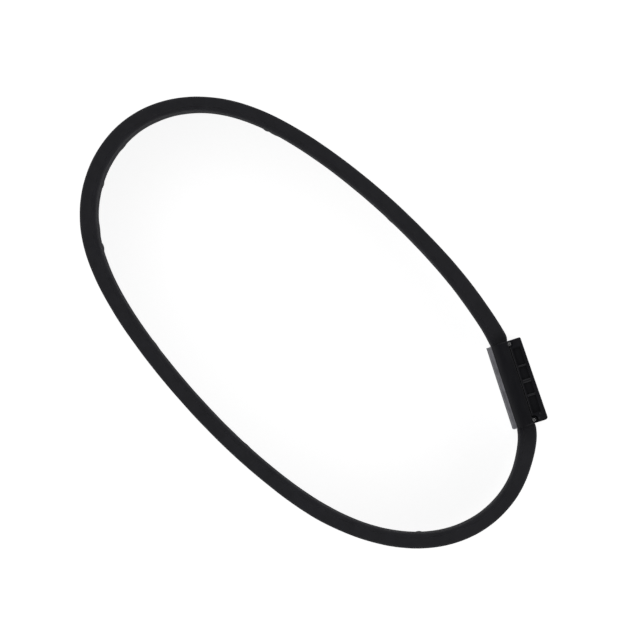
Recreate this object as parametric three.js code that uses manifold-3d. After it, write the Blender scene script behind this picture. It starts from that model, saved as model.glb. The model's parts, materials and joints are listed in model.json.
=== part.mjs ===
// ESD wrist strap: a slim two-layer elastomer band that makes one loop round the wrist.
// Both of its ends are held in a small fold-over clasp.
//
// Millimetres, +Z up, the strap lying on its edge on the plane z = 0.
// Origin: on that plane, under the middle of the clasp, in the mid-plane of the band.
// +X runs along the band through the clasp, and +Y points outward, away from the wrist.

import * as THREE from 'three';
import { mergeVertices } from 'three/addons/utils/BufferGeometryUtils.js';
import Module from 'manifold-3d';

const wasm = await Module();
wasm.setup();

// ---------------------------------------------------------------- driving dimensions

// Band: an insulating outer layer over a conductive inner liner
const BAND_WIDTH = 12.0;
const BAND_OUTER_FACE = 1.1;
const LAYER_LINE = -0.5;
const LINER_INNER_FACE = -1.1;
const LINER_INSET = 0.05;
const BAND_END = 2.4;
const LINER_END = 0.3;
const BAND_LIFT = 1.8;
const SETTLE_LENGTH = 45;
const BAND_STATIONS = 110;

// Control points of the band's middle line, from the clasp's right end clockwise to its left
const BAND_ROUTE = [
  [5.0, 0.0], [6.9, 0.0], [9.3, -0.6], [14.5, -4.1], [18.0, -10.1],
  [18.5, -17.5], [15.4, -25.4], [9.3, -32.4], [2.1, -37.6], [-5.1, -41.9],
  [-13.5, -45.9], [-22.0, -49.2], [-31.1, -51.8], [-40.2, -52.4], [-48.2, -49.0],
  [-53.7, -41.9], [-54.3, -33.1], [-50.6, -25.0], [-43.7, -18.2], [-36.0, -12.7],
  [-28.0, -7.9], [-18.1, -3.2], [-11.2, -1.0], [-8.2, -0.2], [-5.0, 0.0],
];
const ROUTE_DIVISIONS = 2000;
const LAST_SHARE = 1 - 1e-9;

// Clasp: a tray against the wrist, closed by a hinged cover on its outer side
const CLASP_HALF = 6.27;
const CLASP_HEIGHT = BAND_WIDTH + 2 * BAND_LIFT;
const MID_HEIGHT = CLASP_HEIGHT / 2;
const TRAY_INNER_FACE = -1.38;
const TRAY_FLOOR = -1.14;
const TRAY_RIM = 1.1;
const FLARE_START = 5.0;
const FLARE_DEPTH = 0.12;
const CHANNEL_WALL = 1.7;
const CROWN_START = -0.1;
const CROWN_DROP = 0.22;
const CROWN_STEPS = 6;
const COVER_INNER_FACE = 1.16;
const COVER_OUTER_FACE = 3.18;
const COVER_TAPER = 0.1;
const COVER_HINGE_RADIUS = 0.4;
const COVER_LATCH_RADIUS = 0.2;
const EDGE_ROUNDING = 0.12;
const EDGE_STEPS = 3;

// Stub pins of the hinge (+X) and the latch (-X), and the ears and knuckles round them
const PIN_X = 5.77;
const PIN_Y = 1.27;
const PIN_RADIUS = 0.22;
const PIN_LENGTH = 1.65;
const PRESS_GAP = 0.01;
const RUNNING_GAP = 0.03;
const EAR_RADIUS = 0.45;
const EAR_INSET = 0.02;
const EAR_THICKNESS = 0.8;
const KNUCKLE_FROM = 0.9;
const KNUCKLE_TO = 1.6;
const SIDE_CLEARANCE = 0.05;

// Round room about each pin: the cover's square corner swings through it at the hinge
const HINGE_ROOM = 0.66;
const LATCH_ROOM = 0.52;

// Counterbores in the ears round the ends of the hinge pins
const PIN_COUNTERBORE_RADIUS = 0.34;
const PIN_COUNTERBORE_DEPTH = 0.25;

// Shallow pockets in both edges of the cover, with round-topped ribs between them
const POCKETS = [[-5.0, -2.4], [-2.1, -0.28], [0.36, 1.98], [2.35, 4.85]];
const POCKET_INNER_FACE = 1.46;
const POCKET_OUTER_FACE = 2.64;
const POCKET_DEPTH = 0.4;

// Round dimples that the mould's ejector pins left at the hinge end of both edges
const DIMPLES = [[5.15, 2.42], [5.76, 2.06]];
const DIMPLE_RADIUS = 0.25;
const DIMPLE_RISE = 0.1;

// Heel of the cover, cut back so that it clears the band when the cover is open
const HEEL_X = 5.67;
const HEEL_CORNER_Y = 2.8;

// Fingernail groove across the latch end
const GRIP_RADIUS = 0.3;
const GRIP_Y = 2.2;
const GRIP_HALF_LENGTH = 4.0;

// Skin contact: a steel back plate on two rivets, whose feet bear on the liner
const PLATE_HALF = 6.21;
const PLATE_INNER_FACE = -1.89;
const PLATE_THICKNESS = 0.5;
const PLATE_MARGIN = 0.2;
const PLATE_CORNER = 0.08;
const STUD_X = 2.6;
const STUD_RADIUS = 0.9;
const STUD_FOOT_RADIUS = 1.4;
const STUD_FOOT_HEIGHT = 0.12;
const STUD_TOP = -1.12;

// Steel bars through the ends of the band
const BAR_X = 3.6;
const BAR_Y = 0.3;
const BAR_RADIUS = 0.4;
const BAR_SEAT_DEPTH = 0.8;

// Ground contact: a leaf spring under a flush socket in the cover
const SPRING_PROFILE = [
  [0, 1.46], [0.4, 1.45], [0.78, 1.22], [0.95, 0.65], [1.15, 0.0], [1.5, -0.34], [1.85, -0.22],
];
const SPRING_STEPS = 36;
const SPRING_THICKNESS = 0.15;
const SPRING_HALF_WIDTH = 1.4;
const SPRING_RECESS_HALF = 1.4;
const SPRING_RECESS_FLOOR = 1.6;
const SOCKET_RADIUS = 1.2;
const SOCKET_FLANGE_RADIUS = 1.8;
const SOCKET_FLANGE = 0.25;
const SOCKET_BORE_RADIUS = 0.85;
const SOCKET_BORE_DEPTH = 1.1;

const GAP = 0.05;
const OVERRUN = 0.1;
const ROUND_SEGMENTS = 24;
const DIMPLE_SEGMENTS = 12;
const CURVE_SEGMENTS = 6;
const MERGE_DISTANCE = 1e-5;

// ---------------------------------------------------------------- materials

function finish(colour, roughness, metalness) {
  return new THREE.MeshStandardMaterial({ color: colour, roughness, metalness });
}

const bandRubber = () => finish(0x1b1b1e, 0.72, 0.0);
const linerRubber = () => finish(0x232326, 0.8, 0.0);
const claspPlastic = () => finish(0x161618, 0.45, 0.0);
const steel = () => finish(0xb4b4b4, 0.3, 1.0);
const plateSteel = () => finish(0x8a8a88, 0.4, 1.0);
const brass = () => finish(0xc2a56a, 0.35, 1.0);

// ---------------------------------------------------------------- shape helpers

function toSolid(geometry) {
  const bare = geometry.clone();
  bare.deleteAttribute('normal');
  bare.deleteAttribute('uv');
  const merged = mergeVertices(bare, MERGE_DISTANCE);
  return new wasm.Manifold(new wasm.Mesh({
    numProp: 3,
    vertProperties: new Float32Array(merged.attributes.position.array),
    triVerts: new Uint32Array(merged.index.array),
  }));
}

function toGeometry(solid) {
  const mesh = solid.getMesh();
  const geometry = new THREE.BufferGeometry();
  geometry.setAttribute('position', new THREE.BufferAttribute(mesh.vertProperties, 3));
  geometry.setIndex(new THREE.BufferAttribute(mesh.triVerts, 1));
  geometry.computeVertexNormals();
  return geometry;
}

// Joins the added shapes to the base, then takes the cut shapes away.
function carve(base, added, cuts) {
  let solid = toSolid(base);
  for (const geometry of added) {
    solid = solid.add(toSolid(geometry));
  }
  for (const geometry of cuts) {
    solid = solid.subtract(toSolid(geometry));
  }
  return toGeometry(solid);
}

function block([x0, x1], [y0, y1], [z0, z1]) {
  const box = new THREE.BoxGeometry(x1 - x0, y1 - y0, z1 - z0);
  return box.translate((x0 + x1) / 2, (y0 + y1) / 2, (z0 + z1) / 2);
}

function uprightRod(x, y, radius, [z0, z1]) {
  const rod = new THREE.CylinderGeometry(radius, radius, z1 - z0, ROUND_SEGMENTS);
  return rod.rotateX(Math.PI / 2).translate(x, y, (z0 + z1) / 2);
}

function crossRod(x, z, radius, [y0, y1]) {
  const rod = new THREE.CylinderGeometry(radius, radius, y1 - y0, ROUND_SEGMENTS);
  return rod.translate(x, (y0 + y1) / 2, z);
}

// A plan outline raised from z0 to z1.
function upright(shape, [z0, z1]) {
  const settings = { depth: z1 - z0, bevelEnabled: false, curveSegments: CURVE_SEGMENTS };
  return new THREE.ExtrudeGeometry(shape, settings).translate(0, 0, z0);
}

// A plan outline raised over the clasp's whole height, with its upper and lower edges rounded.
function roundedUpright(shape) {
  const settings = {
    depth: CLASP_HEIGHT - 2 * EDGE_ROUNDING,
    bevelThickness: EDGE_ROUNDING,
    bevelSize: EDGE_ROUNDING,
    bevelOffset: -EDGE_ROUNDING,
    bevelSegments: EDGE_STEPS,
    curveSegments: CURVE_SEGMENTS,
  };
  return new THREE.ExtrudeGeometry(shape, settings).translate(0, 0, EDGE_ROUNDING);
}

// The same height range at the lower edge of the clasp and, mirrored, at its upper edge.
function bothEdges(from, to) {
  return [[from, to], [CLASP_HEIGHT - to, CLASP_HEIGHT - from]];
}

function named(name, geometry, material) {
  const mesh = new THREE.Mesh(geometry, material);
  mesh.name = name;
  return mesh;
}

// ---------------------------------------------------------------- band

// A uniform cubic B-spline that starts and ends on its first and last control points.
class SmoothRoute extends THREE.Curve {
  constructor(controls) {
    super();
    const first = controls[0];
    const last = controls[controls.length - 1];
    this.controls = [first, first, ...controls, last, last];
    this.arcLengthDivisions = ROUTE_DIVISIONS;
  }

  getPoint(t, target = new THREE.Vector3()) {
    const spans = this.controls.length - 3;
    const place = Math.min(t, LAST_SHARE) * spans;
    const span = Math.floor(place);
    const u = place - span;
    const weights = [
      (1 - u) ** 3,
      3 * u ** 3 - 6 * u ** 2 + 4,
      -3 * u ** 3 + 3 * u ** 2 + 3 * u + 1,
      u ** 3,
    ];
    target.set(0, 0, 0);
    weights.forEach((weight, i) => {
      const [x, y] = this.controls[span + i];
      target.x += weight / 6 * x;
      target.y += weight / 6 * y;
    });
    return target;
  }
}

// Stations along the middle line: place, outward direction and height of the lower edge.
function bandStations(endX) {
  const route = new SmoothRoute(BAND_ROUTE);
  const length = route.getLength();
  const stations = [];
  for (let i = 0; i <= BAND_STATIONS; i += 1) {
    const share = i / BAND_STATIONS;
    const point = route.getPointAt(share);
    const heading = route.getTangentAt(share);
    const fromClasp = Math.min(share, 1 - share) * length;
    const settled = Math.min(fromClasp / SETTLE_LENGTH, 1);
    stations.push({
      x: point.x,
      y: point.y,
      outX: -heading.y,
      outY: heading.x,
      low: BAND_LIFT * (0.5 + 0.5 * Math.cos(Math.PI * settled)),
    });
  }
  stations[0] = { ...stations[0], outX: 0, outY: 1 };
  stations[BAND_STATIONS] = { ...stations[BAND_STATIONS], outX: 0, outY: 1 };
  stations.unshift({ ...stations[0], x: endX });
  stations.push({ ...stations[stations.length - 1], x: -endX });
  return stations;
}

// One layer of the band, swept round the loop with upright walls and a flat end at each end.
function bandLayer(innerFace, outerFace, endX, inset) {
  const stations = bandStations(endX);
  const positions = [];
  for (const { x, y, outX, outY, low } of stations) {
    const z0 = low + inset;
    const z1 = low + BAND_WIDTH - inset;
    const inner = [x + outX * innerFace, y + outY * innerFace];
    const outer = [x + outX * outerFace, y + outY * outerFace];
    positions.push(...inner, z0, ...outer, z0, ...outer, z1, ...inner, z1);
  }
  const triangles = [0, 2, 1, 0, 3, 2];
  for (let i = 0; i < stations.length - 1; i += 1) {
    for (let side = 0; side < 4; side += 1) {
      const a = 4 * i + side;
      const b = 4 * i + (side + 1) % 4;
      triangles.push(a, b, b + 4, a, b + 4, a + 4);
    }
  }
  const end = 4 * (stations.length - 1);
  triangles.push(end, end + 1, end + 2, end, end + 2, end + 3);
  const geometry = new THREE.BufferGeometry();
  geometry.setAttribute('position', new THREE.Float32BufferAttribute(positions, 3));
  geometry.setIndex(triangles);
  return geometry;
}

function strapBand() {
  const layer = bandLayer(LAYER_LINE, BAND_OUTER_FACE, BAND_END, 0);
  const barHoles = [-BAR_X, BAR_X].map((x) => {
    return uprightRod(x, BAR_Y, BAR_RADIUS + GAP, [0, CLASP_HEIGHT]);
  });
  return named('strap_band', carve(layer, [], barHoles), bandRubber());
}

// The liner keeps a hair's gap to the outer layer, and its bared ends nearly meet.
function strapLiner() {
  const layer = bandLayer(LINER_INNER_FACE, LAYER_LINE - PRESS_GAP, LINER_END, LINER_INSET);
  return named('strap_liner', carve(layer, [], []), linerRubber());
}

// A steel bar through each end of the band, seated in the walls of the tray.
function anchorBar(name, x) {
  const low = CHANNEL_WALL - BAR_SEAT_DEPTH + GAP;
  return named(name, uprightRod(x, BAR_Y, BAR_RADIUS, [low, CLASP_HEIGHT - low]), steel());
}

// ---------------------------------------------------------------- tray

// Both edges of the tray are crowned: they fall away along an arc towards the wrist.
function crownCuts() {
  const run = CROWN_START - TRAY_INNER_FACE;
  const radius = run ** 2 / (2 * CROWN_DROP);
  const sweep = Math.asin((run + OVERRUN) / radius);
  return [-1, 1].map((side) => {
    const edge = side > 0 ? CLASP_HEIGHT : 0;
    const arc = [];
    for (let i = 0; i <= CROWN_STEPS; i += 1) {
      const angle = sweep * i / CROWN_STEPS;
      const drop = radius * (1 - Math.cos(angle));
      arc.push(new THREE.Vector2(CROWN_START - radius * Math.sin(angle), edge - side * drop));
    }
    const outside = edge + side * OVERRUN;
    const corners = [
      new THREE.Vector2(arc[CROWN_STEPS].x, outside),
      new THREE.Vector2(CROWN_START, outside),
    ];
    const span = 2 * (CLASP_HALF + OVERRUN);
    const settings = { depth: span, bevelEnabled: false };
    const wedge = new THREE.ExtrudeGeometry(new THREE.Shape([...arc, ...corners]), settings);
    wedge.translate(0, 0, -span / 2);
    return wedge.applyMatrix4(new THREE.Matrix4().makeBasis(
      new THREE.Vector3(0, 1, 0), new THREE.Vector3(0, 0, 1), new THREE.Vector3(1, 0, 0),
    ));
  });
}

// The channel's floor drops away at both ends, where the band starts to bend.
function flareCuts() {
  return [-1, 1].map((side) => {
    const end = CLASP_HALF + OVERRUN;
    const wedge = new THREE.Shape([
      new THREE.Vector2(side * FLARE_START, TRAY_FLOOR + OVERRUN),
      new THREE.Vector2(side * FLARE_START, TRAY_FLOOR),
      new THREE.Vector2(side * end, TRAY_FLOOR - FLARE_DEPTH),
      new THREE.Vector2(side * end, TRAY_FLOOR + OVERRUN),
    ]);
    return upright(wedge, [CHANNEL_WALL, CLASP_HEIGHT - CHANNEL_WALL]);
  });
}

// Every cut that is made at both ends of the tray, with side -1 for the latch end.
function trayEndCuts(side, room) {
  const pinX = side * PIN_X;
  const barX = side * BAR_X;
  const barHalf = BAR_RADIUS + GAP;
  const rimTop = TRAY_RIM + EAR_RADIUS + OVERRUN;
  const footUnder = STUD_TOP - STUD_FOOT_HEIGHT - PRESS_GAP;
  return [
    ...bothEdges(EAR_THICKNESS, CHANNEL_WALL + OVERRUN).map((range) => {
      return uprightRod(pinX, PIN_Y, room, range);
    }),
    ...bothEdges(-OVERRUN, EAR_THICKNESS + OVERRUN).map((range) => {
      return uprightRod(pinX, PIN_Y, PIN_RADIUS + PRESS_GAP, range);
    }),
    ...bothEdges(CHANNEL_WALL - BAR_SEAT_DEPTH, CHANNEL_WALL + OVERRUN).map((range) => {
      return block([barX - barHalf, barX + barHalf], [BAR_Y - barHalf, rimTop], range);
    }),
    crossRod(side * STUD_X, MID_HEIGHT, STUD_RADIUS + PRESS_GAP, [TRAY_INNER_FACE - OVERRUN, 0]),
    crossRod(side * STUD_X, MID_HEIGHT, STUD_FOOT_RADIUS + GAP, [footUnder, 0]),
  ];
}

function pinCounterbores() {
  return bothEdges(-OVERRUN, PIN_COUNTERBORE_DEPTH).map((range) => {
    return uprightRod(PIN_X, PIN_Y, PIN_COUNTERBORE_RADIUS, range);
  });
}

function claspBody() {
  const tray = roundedUpright(new THREE.Shape([
    new THREE.Vector2(-CLASP_HALF, TRAY_INNER_FACE),
    new THREE.Vector2(CLASP_HALF, TRAY_INNER_FACE),
    new THREE.Vector2(CLASP_HALF, TRAY_RIM),
    new THREE.Vector2(-CLASP_HALF, TRAY_RIM),
  ]));
  const end = CLASP_HALF + OVERRUN;
  const channel = block(
    [-end, end],
    [TRAY_FLOOR, TRAY_RIM + EAR_RADIUS + OVERRUN],
    [CHANNEL_WALL, CLASP_HEIGHT - CHANNEL_WALL],
  );
  const ears = [-PIN_X, PIN_X].flatMap((x) => {
    return bothEdges(EAR_INSET, EAR_THICKNESS).map((range) => {
      return uprightRod(x, PIN_Y, EAR_RADIUS, range);
    });
  });
  const endCuts = [...trayEndCuts(-1, LATCH_ROOM), ...trayEndCuts(1, HINGE_ROOM)];
  const cuts = [channel, ...flareCuts(), ...crownCuts(), ...endCuts, ...pinCounterbores()];
  return named('clasp_body', carve(tray, ears, cuts), claspPlastic());
}

// ---------------------------------------------------------------- skin contact

function roundedPlate(halfLength, [z0, z1], corner) {
  const shape = new THREE.Shape();
  shape.moveTo(-halfLength + corner, z0);
  shape.lineTo(halfLength - corner, z0);
  shape.absarc(halfLength - corner, z0 + corner, corner, -Math.PI / 2, 0);
  shape.absarc(halfLength - corner, z1 - corner, corner, 0, Math.PI / 2);
  shape.absarc(-halfLength + corner, z1 - corner, corner, Math.PI / 2, Math.PI);
  shape.absarc(-halfLength + corner, z0 + corner, corner, Math.PI, 1.5 * Math.PI);
  return shape;
}

function contactPlate() {
  const outline = roundedPlate(PLATE_HALF, [PLATE_MARGIN, CLASP_HEIGHT - PLATE_MARGIN], PLATE_CORNER);
  const settings = { depth: PLATE_THICKNESS, bevelEnabled: false, curveSegments: CURVE_SEGMENTS };
  const sheet = new THREE.ExtrudeGeometry(outline, settings).rotateX(Math.PI / 2);
  sheet.translate(0, PLATE_INNER_FACE + PLATE_THICKNESS, 0);
  const through = [PLATE_INNER_FACE - OVERRUN, TRAY_INNER_FACE + OVERRUN];
  const holes = [-STUD_X, STUD_X].map((x) => {
    return crossRod(x, MID_HEIGHT, STUD_RADIUS + PRESS_GAP, through);
  });
  return named('contact_plate', carve(sheet, [], holes), plateSteel());
}

// A solid turned about the Y axis; its profile runs from the lowest point on the axis.
function turned(profile, x) {
  const points = profile.map(([radius, y]) => new THREE.Vector2(radius, y));
  return new THREE.LatheGeometry(points, ROUND_SEGMENTS).translate(x, 0, MID_HEIGHT);
}

// A rivet, flush in the plate, whose wide foot bears on the liner.
function contactStud(name, x) {
  const footUnder = STUD_TOP - STUD_FOOT_HEIGHT;
  const profile = [
    [0, PLATE_INNER_FACE],
    [STUD_RADIUS, PLATE_INNER_FACE],
    [STUD_RADIUS, footUnder],
    [STUD_FOOT_RADIUS, footUnder],
    [STUD_FOOT_RADIUS, STUD_TOP],
    [0, STUD_TOP],
  ];
  return named(name, turned(profile, x), steel());
}

// ---------------------------------------------------------------- cover

// The cover's plan; its outer face tapers from the hinge end to the latch end.
function coverOutline() {
  const end = CLASP_HALF;
  const hingeFace = COVER_OUTER_FACE + COVER_TAPER;
  const latchFace = COVER_OUTER_FACE - COVER_TAPER;
  const hingeRadius = COVER_HINGE_RADIUS;
  const latchRadius = COVER_LATCH_RADIUS;
  const shape = new THREE.Shape();
  shape.moveTo(-end, COVER_INNER_FACE);
  shape.lineTo(end, COVER_INNER_FACE);
  shape.absarc(end - hingeRadius, hingeFace - hingeRadius, hingeRadius, 0, Math.PI / 2);
  shape.absarc(-end + latchRadius, latchFace - latchRadius, latchRadius, Math.PI / 2, Math.PI);
  return shape;
}

// Room over the band at the hinge end, between the two knuckles.
function heelCut() {
  const beyond = CLASP_HALF + OVERRUN;
  const heel = new THREE.Shape([
    new THREE.Vector2(HEEL_X, COVER_INNER_FACE - OVERRUN),
    new THREE.Vector2(beyond, COVER_INNER_FACE - OVERRUN),
    new THREE.Vector2(beyond, HEEL_CORNER_Y + beyond - HEEL_X),
    new THREE.Vector2(HEEL_X, HEEL_CORNER_Y),
  ]);
  return upright(heel, [KNUCKLE_TO + SIDE_CLEARANCE, CLASP_HEIGHT - KNUCKLE_TO - SIDE_CLEARANCE]);
}

function pocketCuts() {
  return bothEdges(-OVERRUN, POCKET_DEPTH).flatMap((range) => {
    return POCKETS.map((pocket) => block(pocket, [POCKET_INNER_FACE, POCKET_OUTER_FACE], range));
  });
}

// Takes the corners off each rib between two pockets, so that its top is half round.
function ribCuts() {
  return POCKETS.slice(1).flatMap(([ribEnd], i) => {
    const ribStart = POCKETS[i][1];
    const radius = (ribEnd - ribStart) / 2;
    const middle = (ribStart + ribEnd) / 2;
    return bothEdges(-OVERRUN, radius).map((range) => {
      const height = range[0] < 0 ? radius : CLASP_HEIGHT - radius;
      const top = block([ribStart, ribEnd], [POCKET_INNER_FACE, POCKET_OUTER_FACE], range);
      const rod = crossRod(middle, height, radius, [POCKET_INNER_FACE, POCKET_OUTER_FACE]);
      return carve(top, [], [rod]);
    });
  });
}

function dimpleCuts() {
  return DIMPLES.flatMap(([x, y]) => {
    return [-DIMPLE_RISE, CLASP_HEIGHT + DIMPLE_RISE].map((z) => {
      const ball = new THREE.SphereGeometry(DIMPLE_RADIUS, DIMPLE_SEGMENTS, DIMPLE_SEGMENTS / 2);
      return ball.rotateX(Math.PI / 2).translate(x, y, z);
    });
  });
}

// The cover's inner face opens a little at the latch end, where the band comes out.
function coverFlareCut() {
  const end = CLASP_HALF + OVERRUN;
  const wedge = new THREE.Shape([
    new THREE.Vector2(-FLARE_START, COVER_INNER_FACE - OVERRUN),
    new THREE.Vector2(-FLARE_START, COVER_INNER_FACE),
    new THREE.Vector2(-end, COVER_INNER_FACE + FLARE_DEPTH),
    new THREE.Vector2(-end, COVER_INNER_FACE - OVERRUN),
  ]);
  return upright(wedge, [CHANNEL_WALL, CLASP_HEIGHT - CHANNEL_WALL]);
}

// Room for the tray's ears, the bores on the pins, and the latch's snap-in mouths.
function coverEndCuts() {
  const bore = PIN_RADIUS + RUNNING_GAP;
  const earRooms = bothEdges(-OVERRUN, EAR_THICKNESS + SIDE_CLEARANCE).flatMap((range) => [
    uprightRod(PIN_X, PIN_Y, HINGE_ROOM, range),
    uprightRod(-PIN_X, PIN_Y, LATCH_ROOM, range),
  ]);
  const bores = bothEdges(KNUCKLE_FROM - OVERRUN, KNUCKLE_TO + OVERRUN).flatMap((range) => [
    uprightRod(PIN_X, PIN_Y, bore, range),
    uprightRod(-PIN_X, PIN_Y, bore, range),
    block([-PIN_X - bore, -PIN_X + bore], [0, PIN_Y], range),
  ]);
  return [...earRooms, ...bores];
}

function coverMiddleCuts() {
  const recessHalf = SPRING_HALF_WIDTH + 2 * GAP;
  const flangeUnder = COVER_OUTER_FACE - SOCKET_FLANGE - PRESS_GAP;
  const outside = COVER_OUTER_FACE + COVER_TAPER + OVERRUN;
  const gripRange = [MID_HEIGHT - GRIP_HALF_LENGTH, MID_HEIGHT + GRIP_HALF_LENGTH];
  return [
    block(
      [-SPRING_RECESS_HALF, SPRING_RECESS_HALF],
      [0, SPRING_RECESS_FLOOR],
      [MID_HEIGHT - recessHalf, MID_HEIGHT + recessHalf],
    ),
    crossRod(0, MID_HEIGHT, SOCKET_RADIUS + PRESS_GAP, [0, outside]),
    crossRod(0, MID_HEIGHT, SOCKET_FLANGE_RADIUS + PRESS_GAP, [flangeUnder, outside]),
    uprightRod(-CLASP_HALF - GAP, GRIP_Y, GRIP_RADIUS, gripRange),
  ];
}

function claspCover() {
  const shell = roundedUpright(coverOutline());
  const knuckles = [-PIN_X, PIN_X].flatMap((x) => {
    return bothEdges(KNUCKLE_FROM, KNUCKLE_TO).map((range) => uprightRod(x, PIN_Y, EAR_RADIUS, range));
  });
  const edgeCuts = [...pocketCuts(), ...ribCuts(), ...dimpleCuts()];
  const cuts = [heelCut(), coverFlareCut(), ...edgeCuts, ...coverEndCuts(), ...coverMiddleCuts()];
  return named('clasp_cover', carve(shell, knuckles, cuts), claspPlastic());
}

// ---------------------------------------------------------------- ground contact

// A leaf folded like an omega: its back lies in the cover and its feet press on the liner.
function contactSpring() {
  const leftHalf = SPRING_PROFILE.slice(1).reverse().map(([x, y]) => [-x, y]);
  const whole = [...leftHalf, ...SPRING_PROFILE].map(([x, y]) => new THREE.Vector2(x, y));
  const spine = new THREE.SplineCurve(whole);
  const upper = [];
  const lower = [];
  for (let i = 0; i <= SPRING_STEPS; i += 1) {
    const point = spine.getPointAt(i / SPRING_STEPS);
    const heading = spine.getTangentAt(i / SPRING_STEPS);
    const half = new THREE.Vector2(-heading.y, heading.x).multiplyScalar(SPRING_THICKNESS / 2);
    upper.push(point.clone().add(half));
    lower.push(point.clone().sub(half));
  }
  const leaf = new THREE.Shape([...lower, ...upper.reverse()]);
  const range = [MID_HEIGHT - SPRING_HALF_WIDTH, MID_HEIGHT + SPRING_HALF_WIDTH];
  return named('contact_spring', upright(leaf, range), steel());
}

// The ground lead's plug goes into this flush brass socket in the middle of the cover.
function groundSocket() {
  const shankEnd = SPRING_RECESS_FLOOR - GAP;
  const flangeUnder = COVER_OUTER_FACE - SOCKET_FLANGE;
  const profile = [
    [0, shankEnd],
    [SOCKET_RADIUS, shankEnd],
    [SOCKET_RADIUS, flangeUnder],
    [SOCKET_FLANGE_RADIUS, flangeUnder],
    [SOCKET_FLANGE_RADIUS, COVER_OUTER_FACE],
    [SOCKET_BORE_RADIUS, COVER_OUTER_FACE],
    [SOCKET_BORE_RADIUS, COVER_OUTER_FACE - SOCKET_BORE_DEPTH],
    [0, COVER_OUTER_FACE - SOCKET_BORE_DEPTH],
  ];
  return named('ground_socket', turned(profile, 0), brass());
}

// ---------------------------------------------------------------- pins

function stubPin(name, x, range) {
  return named(name, uprightRod(x, PIN_Y, PIN_RADIUS, range), steel());
}

// ---------------------------------------------------------------- assembly

const [lowerPins, upperPins] = bothEdges(0, PIN_LENGTH);

const wristStrap = new THREE.Group();
wristStrap.add(
  strapBand(),
  strapLiner(),
  anchorBar('anchor_bar_left', -BAR_X),
  anchorBar('anchor_bar_right', BAR_X),
  claspBody(),
  contactPlate(),
  contactStud('contact_stud_left', -STUD_X),
  contactStud('contact_stud_right', STUD_X),
  claspCover(),
  contactSpring(),
  groundSocket(),
  stubPin('hinge_pin_lower', PIN_X, lowerPins),
  stubPin('hinge_pin_upper', PIN_X, upperPins),
  stubPin('latch_pin_lower', -PIN_X, lowerPins),
  stubPin('latch_pin_upper', -PIN_X, upperPins),
);

export default wristStrap;
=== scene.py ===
"""ESD wrist strap: a slim black elastomer loop lying on its edge, closed by a small hinged clasp.

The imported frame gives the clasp's parts and their places. This script adds the fine surface
of the band, the broken edges of the clasp's metal, every material, the light and the camera.
"""

import json
import math

import bpy
import numpy as np
from mathutils import Matrix, Vector, noise


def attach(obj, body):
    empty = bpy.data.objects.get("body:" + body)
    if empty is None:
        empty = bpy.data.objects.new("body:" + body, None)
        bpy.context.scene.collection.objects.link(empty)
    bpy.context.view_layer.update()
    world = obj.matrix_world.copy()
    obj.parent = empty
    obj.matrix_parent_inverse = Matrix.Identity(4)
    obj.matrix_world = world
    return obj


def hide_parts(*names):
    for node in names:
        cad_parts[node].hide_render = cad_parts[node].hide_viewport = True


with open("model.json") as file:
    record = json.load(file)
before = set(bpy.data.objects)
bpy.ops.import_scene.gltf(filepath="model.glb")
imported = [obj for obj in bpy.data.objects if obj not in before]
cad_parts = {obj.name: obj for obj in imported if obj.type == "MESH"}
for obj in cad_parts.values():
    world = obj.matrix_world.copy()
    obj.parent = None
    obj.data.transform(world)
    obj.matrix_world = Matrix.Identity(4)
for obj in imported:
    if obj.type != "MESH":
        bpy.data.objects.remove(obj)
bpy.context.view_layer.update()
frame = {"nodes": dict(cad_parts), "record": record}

MM = 0.001

# ---------------------------------------------------------------- sizes, in millimetres

# The band's middle line: the same control points as the CAD part's route
BAND_ROUTE = [
    (5.0, 0.0), (6.9, 0.0), (9.3, -0.6), (14.5, -4.1), (18.0, -10.1),
    (18.5, -17.5), (15.4, -25.4), (9.3, -32.4), (2.1, -37.6), (-5.1, -41.9),
    (-13.5, -45.9), (-22.0, -49.2), (-31.1, -51.8), (-40.2, -52.4), (-48.2, -49.0),
    (-53.7, -41.9), (-54.3, -33.1), (-50.6, -25.0), (-43.7, -18.2), (-36.0, -12.7),
    (-28.0, -7.9), (-18.1, -3.2), (-11.2, -1.0), (-8.2, -0.2), (-5.0, 0.0),
]
BAND_WIDTH = 12.0
BAND_HALF_THICKNESS = 1.1
LAYER_LINE = -0.5
BAND_END = 2.4
LINER_END = 0.3
BAND_LIFT = 1.8
SETTLE_LENGTH = 45.0
EDGE_RADIUS = 0.3
LINER_EDGE_RADIUS = 0.21
GROOVE_RADIUS = 0.05
CORNER_STEPS = 5
STATION_STEP = 0.25
ROUTE_SAMPLES = 6000

# Ridge along the middle of the outer wall where the mould parts: height and half widths
PARTING_RIDGE = 0.025
RIDGE_CREST = 0.04
RIDGE_FOOT = 0.10

# Slight waviness of the walls: height, and turns per millimetre along, through and across
WAVE_HEIGHT = 0.02
WAVE_ALONG = 0.35
WAVE_THROUGH = 0.8
WAVE_ACROSS = 0.5

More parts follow.
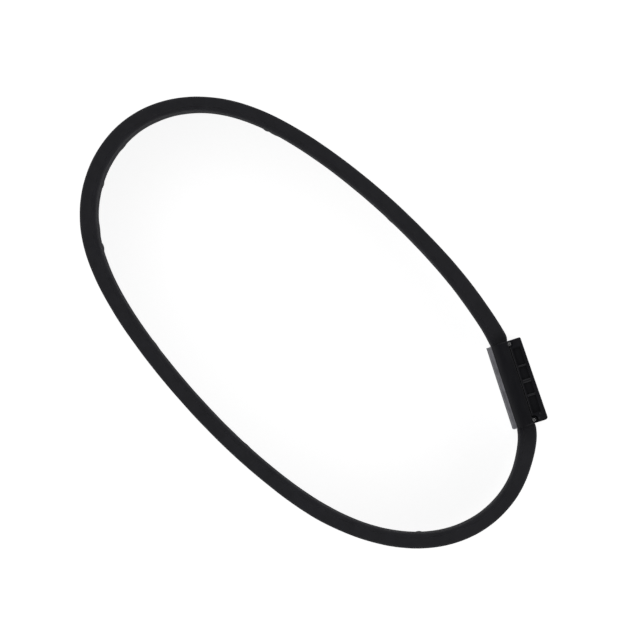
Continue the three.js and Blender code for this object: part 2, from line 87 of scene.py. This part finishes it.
# How far the band's wide faces stand off their places, by share of its length: the outer face
# outward, the inner face inward, and how much of that is swelling. The rest of it is a lean,
# which is full at the upper edge of the outer face and at the lower edge of the inner face.
SPREAD = [
    (0.0, 0.33, 0.12, 1.0), (0.009, 0.33, 0.13, 1.0), (0.016, 0.12, 0.24, 1.0),
    (0.03, 0.03, 0.18, 1.0), (0.05, 0.04, 0.03, 0.5), (0.15, 0.05, 0.0, 0.0),
    (0.2, 0.06, -0.03, 0.0), (0.23, 0.15, 0.0, 0.5), (0.3, 0.08, 0.0, 0.5),
    (0.47, 0.07, 0.03, 1.0), (0.52, 0.12, 0.09, 1.0), (0.6, 0.10, 0.03, 1.0),
    (0.68, -0.06, -0.13, 1.0), (0.76, 0.0, -0.01, 0.5), (0.83, 0.09, 0.03, 0.5),
    (0.9, 0.12, 0.05, 0.5), (0.93, 0.15, 0.10, 1.0), (0.978, 0.15, 0.16, 1.0),
    (0.986, 0.22, 0.12, 1.0), (0.991, 0.40, 0.08, 1.0), (1.0, 0.52, 0.04, 1.0),
]
SHARES, *SPREADS = zip(*SPREAD)

# Free lengths between which the spread sets in where the band leaves the clasp
HINGE_EXIT = (0.85, 1.35)
LATCH_EXIT = (1.0, 1.8)

# Stations over which the spread and its onset are averaged
SPREAD_SMOOTHING = 21
EXIT_SMOOTHING = 5

# Nicks of moulding flash on the lower inner edge: share of the length, height, half length.
# They lie on the part of the wall beyond FLASH_INNER.
FLASH_INNER = -0.8
FLASH = [
    (0.148, 0.10, 0.5), (0.512, 0.14, 0.7), (0.528, 0.06, 1.2), (0.566, 0.09, 0.6),
    (0.603, 0.07, 0.8), (0.735, 0.12, 0.5), (0.742, 0.08, 0.9), (0.31, 0.05, 0.6),
    (0.42, 0.05, 0.9), (0.86, 0.05, 0.7),
]

# Clasp: corners closer than this are one, edges sharper than this stay sharp, and bevels by
# material slot. The plastic's edges are already round in the CAD.
WELD_DISTANCE = 0.002
SHARP_ANGLE = math.radians(38)
FLAT_ANGLE = math.radians(1)
BEVEL_SEGMENTS = 3
BEVELS = {"clasp_plastic": 0.0, "contact_steel": 0.09, "steel": 0.05, "socket_brass": 0.04}

# Camera: a long lens far above the strap, aimed a little off its own foot
CAMERA_PLACE = (-6.58, -18.3, 1140.0)
CAMERA_TARGET = (-18.64, -24.29, 0.0)
CAMERA_TURN = 72.0
CAMERA_LENS = 443.6
CAMERA_SENSOR = 36.0
CAMERA_CLIP = 10.0

# Studio light by height, from straight below to straight above, and the pale sheet
SKY = [(0.0, 0.18), (0.45, 0.22), (0.52, 1.0), (0.82, 0.9), (0.92, 0.35), (0.965, 0.08)]
SKY_STRENGTH = 0.8
FLOOR_SIZE = 3000.0
FLOOR_GREY = 0.8
FLOOR_ROUGHNESS = 0.9
FLOOR_GLOW = 0.8

# Blue of the black materials and of the back plate, against their red and green
BLACK_BLUE = 1.3
PLATE_BLUE = 1.07

# Refractive index of rubber and nylon
INDEX = 1.5

# The part of a noise texture's values that is mapped to a range
NOISE_LOW = 0.3
NOISE_HIGH = 0.7

# ---------------------------------------------------------------- node helpers


def new_material(name):
    material = bpy.data.materials.new(name)
    material.use_nodes = True
    return material, material.node_tree.nodes, material.node_tree.links


def mapped_noise(nodes, links, scale, detail, stretch=(1, 1, 1), roughness=0.55):
    """A noise texture over the object's own coordinates; scale counts features per metre."""
    coordinates = nodes.new("ShaderNodeTexCoord")
    mapping = nodes.new("ShaderNodeMapping")
    mapping.inputs["Scale"].default_value = stretch
    links.new(coordinates.outputs["Object"], mapping.inputs["Vector"])
    texture = nodes.new("ShaderNodeTexNoise")
    texture.inputs["Scale"].default_value = scale
    texture.inputs["Detail"].default_value = detail
    texture.inputs["Roughness"].default_value = roughness
    links.new(mapping.outputs["Vector"], texture.inputs["Vector"])
    return texture.outputs["Fac"]


def ramp(nodes, links, value, stops):
    """A colour ramp; stops are (position, grey or colour)."""
    node = nodes.new("ShaderNodeValToRGB")
    elements = node.color_ramp.elements
    while len(elements) < len(stops):
        elements.new(0.5)
    for element, (position, colour) in zip(elements, stops):
        element.position = position
        rgb = (colour,) * 3 if isinstance(colour, (int, float)) else colour
        element.color = (*rgb, 1.0)
    links.new(value, node.inputs["Fac"])
    return node.outputs["Color"]


def cool(grey, blue):
    """A grey with its blue raised."""
    return grey, grey, grey * blue


def to_range(nodes, links, value, low, high):
    """Maps a noise value to a range."""
    node = nodes.new("ShaderNodeMapRange")
    node.inputs["From Min"].default_value = NOISE_LOW
    node.inputs["From Max"].default_value = NOISE_HIGH
    node.inputs["To Min"].default_value = low
    node.inputs["To Max"].default_value = high
    links.new(value, node.inputs["Value"])
    return node.outputs["Result"]


def add_bump(nodes, links, height, strength, depth, below=None):
    """A bump from a height value, with its depth in millimetres, over the bump below it."""
    node = nodes.new("ShaderNodeBump")
    node.inputs["Strength"].default_value = strength
    node.inputs["Distance"].default_value = depth * MM
    links.new(height, node.inputs["Height"])
    if below is not None:
        links.new(below, node.inputs["Normal"])
    return node.outputs["Normal"]


# ---------------------------------------------------------------- materials


def rubber(name, dark, light, roughness, specular):
    """Matt black elastomer: fine moulded grain, faint lengthwise streaks, a little dust bloom."""
    material, nodes, links = new_material(name)
    shader = nodes["Principled BSDF"]
    bloom = mapped_noise(nodes, links, scale=420, detail=5.0)
    colour = ramp(nodes, links, bloom, [(0.35, cool(dark, BLACK_BLUE)), (0.7, cool(light, BLACK_BLUE))])
    links.new(colour, shader.inputs["Base Color"])
    patches = mapped_noise(nodes, links, scale=900, detail=3.0)
    links.new(to_range(nodes, links, patches, *roughness), shader.inputs["Roughness"])
    grain = mapped_noise(nodes, links, scale=7000, detail=3.0, roughness=0.6)
    pits = mapped_noise(nodes, links, scale=2600, detail=4.0)
    streaks = mapped_noise(nodes, links, scale=3500, detail=4.0, stretch=(0.02, 0.02, 1))
    normal = add_bump(nodes, links, grain, strength=0.5, depth=0.04)
    normal = add_bump(nodes, links, pits, strength=0.3, depth=0.04, below=normal)
    normal = add_bump(nodes, links, streaks, strength=0.35, depth=0.08, below=normal)
    links.new(normal, shader.inputs["Normal"])
    shader.inputs["Specular IOR Level"].default_value = specular
    shader.inputs["IOR"].default_value = INDEX
    return material


def moulded_plastic(name, dark, light, roughness, specular):
    """Black moulded nylon: spark-eroded texture, faint flow marks and handling scuffs."""
    material, nodes, links = new_material(name)
    shader = nodes["Principled BSDF"]
    flow = mapped_noise(nodes, links, scale=300, detail=4.0, stretch=(0.4, 1, 1))
    colour = ramp(nodes, links, flow, [(0.35, cool(dark, BLACK_BLUE)), (0.7, cool(light, BLACK_BLUE))])
    links.new(colour, shader.inputs["Base Color"])
    scuffs = mapped_noise(nodes, links, scale=1400, detail=6.0, stretch=(0.25, 1, 1))
    links.new(to_range(nodes, links, scuffs, *roughness), shader.inputs["Roughness"])
    sparks = mapped_noise(nodes, links, scale=9000, detail=3.0, roughness=0.7)
    normal = add_bump(nodes, links, sparks, strength=0.4, depth=0.03)
    normal = add_bump(nodes, links, scuffs, strength=0.12, depth=0.03, below=normal)
    links.new(normal, shader.inputs["Normal"])
    shader.inputs["Specular IOR Level"].default_value = specular
    shader.inputs["IOR"].default_value = INDEX
    return material


def metal(name, dark, light, roughness, stretch):
    """Worked metal: fine lines along one direction, patchy polish."""
    material, nodes, links = new_material(name)
    shader = nodes["Principled BSDF"]
    lines = mapped_noise(nodes, links, scale=4000, detail=5.0, stretch=stretch)
    links.new(ramp(nodes, links, lines, [(0.3, dark), (0.7, light)]), shader.inputs["Base Color"])
    polish = mapped_noise(nodes, links, scale=700, detail=4.0)
    links.new(to_range(nodes, links, polish, *roughness), shader.inputs["Roughness"])
    links.new(add_bump(nodes, links, lines, strength=0.25, depth=0.02), shader.inputs["Normal"])
    shader.inputs["Metallic"].default_value = 1.0
    return material


# ---------------------------------------------------------------- band


def keep_flats(piece):
    """Shades wide faces flat and lets only the narrow ones between them turn the light."""
    normals = piece.modifiers.new("flat_faces", "WEIGHTED_NORMAL")
    normals.weight = 100


def route_points(count):
    """Points on the uniform cubic B-spline through the clamped control points."""
    first, last = BAND_ROUTE[0], BAND_ROUTE[-1]
    controls = np.array([first, first, *BAND_ROUTE, last, last], float)
    spans = len(controls) - 3
    place = np.linspace(0, spans - 1e-9, count)
    span = np.floor(place).astype(int)
    u = (place - span)[:, None]
    weights = [(1 - u) ** 3, 3 * u ** 3 - 6 * u ** 2 + 4, -3 * u ** 3 + 3 * u ** 2 + 3 * u + 1, u ** 3]
    return sum(weight / 6 * controls[span + i] for i, weight in enumerate(weights))


def band_stations(end_x):
    """Evenly spaced stations along the band, from end_x inside the clasp round to its mirror."""
    line = route_points(ROUTE_SAMPLES)
    line = np.vstack([[end_x, 0.0], line, [-end_x, 0.0]])
    arc = np.concatenate([[0], np.cumsum(np.linalg.norm(np.diff(line, axis=0), axis=1))])
    count = int(arc[-1] / STATION_STEP)
    along = np.linspace(0, arc[-1], count)
    points = np.column_stack([np.interp(along, arc, line[:, i]) for i in (0, 1)])
    heading = np.gradient(points, axis=0)
    heading /= np.linalg.norm(heading, axis=1)[:, None]
    outward = np.column_stack([-heading[:, 1], heading[:, 0]])
    straight = BAND_ROUTE[0][0] - end_x
    free = np.clip(np.minimum(along, arc[-1] - along) - straight, 0, None)
    low = BAND_LIFT * (0.5 + 0.5 * np.cos(math.pi * np.clip(free / SETTLE_LENGTH, 0, 1)))
    share = np.clip((along - straight) / (arc[-1] - 2 * straight), 0, 1)
    return points, outward, low, share, free


def rounded_section(u0, u1, radii, ridge):
    """A layer's section as (outward, height) points; radii are for the inner low, outer low,
    outer high and inner high corners, and ridge raises the parting line on the outer wall."""
    centres = [(u0, 0, 180), (u1, 0, 270), (u1, BAND_WIDTH, 0), (u0, BAND_WIDTH, 90)]
    signs = [(1, 1), (-1, 1), (-1, -1), (1, -1)]
    section = []
    for (u, v, start), (su, sv), radius in zip(centres, signs, radii):
        for step in range(CORNER_STEPS + 1):
            angle = math.radians(start + 90 * step / CORNER_STEPS)
            section.append((
                u + su * radius + radius * math.cos(angle),
                v + sv * radius + radius * math.sin(angle),
            ))
        if ridge and u == u1 and v == 0:
            middle = BAND_WIDTH / 2
            profile = ((-RIDGE_FOOT, 0), (-RIDGE_CREST, ridge), (RIDGE_CREST, ridge), (RIDGE_FOOT, 0))
            for height, proud in profile:
                section.append((u1 + proud, middle + height))
    return section


def smoothed(values, count):
    """Averages values over count neighbours, so that they change without kinks."""
    kernel = np.hanning(count + 2)[1:-1]
    padded = np.pad(values, count // 2, mode="edge")
    return np.convolve(padded, kernel / kernel.sum(), "valid")


def flash_height(share, length):
    """Height of the moulding flash at each station."""
    height = np.zeros_like(share)
    for centre, tall, half in FLASH:
        distance = np.abs(share - centre) * length / half
        height += tall * np.clip(1 - distance ** 2, 0, None)
    return height


def band_layer(name, u0, u1, radii, end_x, ridge, flash):
    """One layer of the band as a closed swept mesh."""
    points, outward, low, share, free = band_stations(end_x)
    onset = [np.interp(free, exit_lengths, (0, 1)) for exit_lengths in (HINGE_EXIT, LATCH_EXIT)]
    fade = smoothed(np.where(share < 0.5, *onset), EXIT_SMOOTHING)
    spread_out, spread_in, swelling = (
        smoothed(np.interp(share, SHARES, column), SPREAD_SMOOTHING) * fade for column in SPREADS
    )
    nicks = flash_height(share, len(share) * STATION_STEP) if flash else np.zeros_like(share)
    section = rounded_section(u0, u1, radii, ridge)
    vertices = []
    for i, (point, out, z, nick) in enumerate(zip(points, outward, low, nicks)):
        for u, v in section:
            turns = Vector((i * STATION_STEP * WAVE_ALONG, u * WAVE_THROUGH, v * WAVE_ACROSS))
            wave = noise.noise(turns) * WAVE_HEIGHT * fade[i]
            across = 0.5 + 0.5 * u / BAND_HALF_THICKNESS
            place = swelling[i] * across + (1 - swelling[i]) * v / BAND_WIDTH
            shift = u + wave * math.copysign(1, u)
            shift += (spread_out[i] + spread_in[i]) * place - spread_in[i]
            if v < EDGE_RADIUS and u < FLASH_INNER:
                shift -= nick
            x, y = point + out * shift
            vertices.append((x * MM, y * MM, (z + v) * MM))
    sides = len(section)
    faces = []
    for i in range(len(points) - 1):
        for k in range(sides):
            a, b = i * sides + k, i * sides + (k + 1) % sides
            faces.append((a, a + sides, b + sides, b))
    faces.append(tuple(range(sides)))
    last = (len(points) - 1) * sides
    faces.append(tuple(reversed(range(last, last + sides))))
    mesh = bpy.data.meshes.new(name)
    mesh.from_pydata(vertices, [], faces)
    mesh.update()
    for face in mesh.polygons:
        face.use_smooth = len(face.vertices) == 4
    piece = bpy.data.objects.new(name, mesh)
    keep_flats(piece)
    bpy.context.scene.collection.objects.link(piece)
    return piece


def build_band(materials):
    """Both layers, which meet at the layer line and stand for the CAD's two band solids."""
    outer = band_layer(
        "band_outer_layer", LAYER_LINE, BAND_HALF_THICKNESS,
        radii=(GROOVE_RADIUS, EDGE_RADIUS, EDGE_RADIUS, GROOVE_RADIUS),
        end_x=BAND_END, ridge=PARTING_RIDGE, flash=False,
    )
    inner = band_layer(
        "band_inner_liner", -BAND_HALF_THICKNESS, LAYER_LINE,
        radii=(LINER_EDGE_RADIUS, GROOVE_RADIUS, GROOVE_RADIUS, LINER_EDGE_RADIUS),
        end_x=LINER_END, ridge=0.0, flash=True,
    )
    layers = (outer, "strap_band", "band_rubber"), (inner, "strap_liner", "liner_rubber")
    for piece, node, slot in layers:
        piece.data.materials.append(materials[slot])
        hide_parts(node)
        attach(piece, "strap")


# ---------------------------------------------------------------- clasp


def finish_node(name, material, bevel):
    """Gives a CAD node its material, smooth round faces and, where bevel isn't 0, broken edges."""
    node = frame["nodes"][name]
    node.data.materials.clear()
    node.data.materials.append(material)
    weld = node.modifiers.new("join_corners", "WELD")
    weld.merge_threshold = WELD_DISTANCE * MM
    if bevel:
        flat = node.modifiers.new("merge_flats", "DECIMATE")
        flat.decimate_type = "DISSOLVE"
        flat.angle_limit = FLAT_ANGLE
        edges = node.modifiers.new("broken_edges", "BEVEL")
        edges.width = bevel * MM
        edges.segments = BEVEL_SEGMENTS
        edges.limit_method = "ANGLE"
        edges.angle_limit = SHARP_ANGLE
    crease = node.modifiers.new("keep_sharp", "EDGE_SPLIT")
    crease.split_angle = SHARP_ANGLE
    keep_flats(node)
    for face in node.data.polygons:
        face.use_smooth = True


# ---------------------------------------------------------------- stage


def build_stage():
    """A white sheet that is also lit from below, so that it shows almost no shadow."""
    bpy.ops.mesh.primitive_plane_add(size=FLOOR_SIZE * MM)
    floor = bpy.context.object
    floor.name = "floor"
    material, nodes, links = new_material("pale_floor")
    shader = nodes["Principled BSDF"]
    shader.inputs["Base Color"].default_value = (FLOOR_GREY, FLOOR_GREY, FLOOR_GREY, 1)
    shader.inputs["Roughness"].default_value = FLOOR_ROUGHNESS
    shader.inputs["Specular IOR Level"].default_value = 0.0
    shader.inputs["Emission Color"].default_value = (1, 1, 1, 1)
    shader.inputs["Emission Strength"].default_value = FLOOR_GLOW
    floor.data.materials.append(material)
    floor.visible_glossy = False


def build_light():
    """Bright studio walls all round, a darker ceiling and a dim lower half for reflections."""
    world = bpy.data.worlds.new("studio")
    bpy.context.scene.world = world
    world.use_nodes = True
    nodes, links = world.node_tree.nodes, world.node_tree.links
    coordinates = nodes.new("ShaderNodeTexCoord")
    split = nodes.new("ShaderNodeSeparateXYZ")
    links.new(coordinates.outputs["Generated"], split.inputs["Vector"])
    height = nodes.new("ShaderNodeMapRange")
    height.inputs["From Min"].default_value = -1.0
    links.new(split.outputs["Z"], height.inputs["Value"])
    sky = ramp(nodes, links, height.outputs["Result"], SKY)
    links.new(sky, nodes["Background"].inputs["Color"])
    nodes["Background"].inputs["Strength"].default_value = SKY_STRENGTH


def build_camera():
    data = bpy.data.cameras.new("camera")
    data.lens = CAMERA_LENS
    data.sensor_width = CAMERA_SENSOR
    data.clip_start = CAMERA_CLIP * MM
    camera = bpy.data.objects.new("camera", data)
    place, target = Vector(CAMERA_PLACE) * MM, Vector(CAMERA_TARGET) * MM
    turn = math.radians(CAMERA_TURN)
    back = (place - target).normalized()
    right = Vector((-math.sin(turn), math.cos(turn), 0.0)).cross(back).normalized()
    up = back.cross(right)
    camera.matrix_world = Matrix.Translation(place) @ Matrix((right, up, back)).transposed().to_4x4()
    bpy.context.scene.collection.objects.link(camera)
    bpy.context.scene.camera = camera


# ---------------------------------------------------------------- assembly

bpy.context.scene.view_settings.view_transform = "Standard"
build_camera()
build_light()
build_stage()

materials = {
    "band_rubber": rubber(
        "band_rubber", dark=0.0128, light=0.0168, roughness=(0.5, 0.65), specular=0.42,
    ),
    "liner_rubber": rubber(
        "liner_rubber", dark=0.0135, light=0.018, roughness=(0.45, 0.6), specular=0.42,
    ),
    "clasp_plastic": moulded_plastic(
        "clasp_plastic", dark=0.009, light=0.0118, roughness=(0.28, 0.4), specular=0.45,
    ),
    "contact_steel": metal(
        "contact_steel", dark=cool(0.62, PLATE_BLUE), light=cool(0.8, PLATE_BLUE),
        roughness=(0.3, 0.45), stretch=(0.05, 1, 1),
    ),
    "steel": metal("steel", dark=0.48, light=0.68, roughness=(0.15, 0.3), stretch=(1, 1, 0.1)),
    "socket_brass": metal(
        "socket_brass", dark=(0.45, 0.33, 0.15), light=(0.62, 0.48, 0.25),
        roughness=(0.2, 0.35), stretch=(1, 0.2, 1),
    ),
}
build_band(materials)
for entry in frame["record"]["subparts"]:
    node_name, node_slot = entry["node"], entry["material_slot"]
    if node_slot in BEVELS:
        finish_node(node_name, materials[node_slot], BEVELS[node_slot])
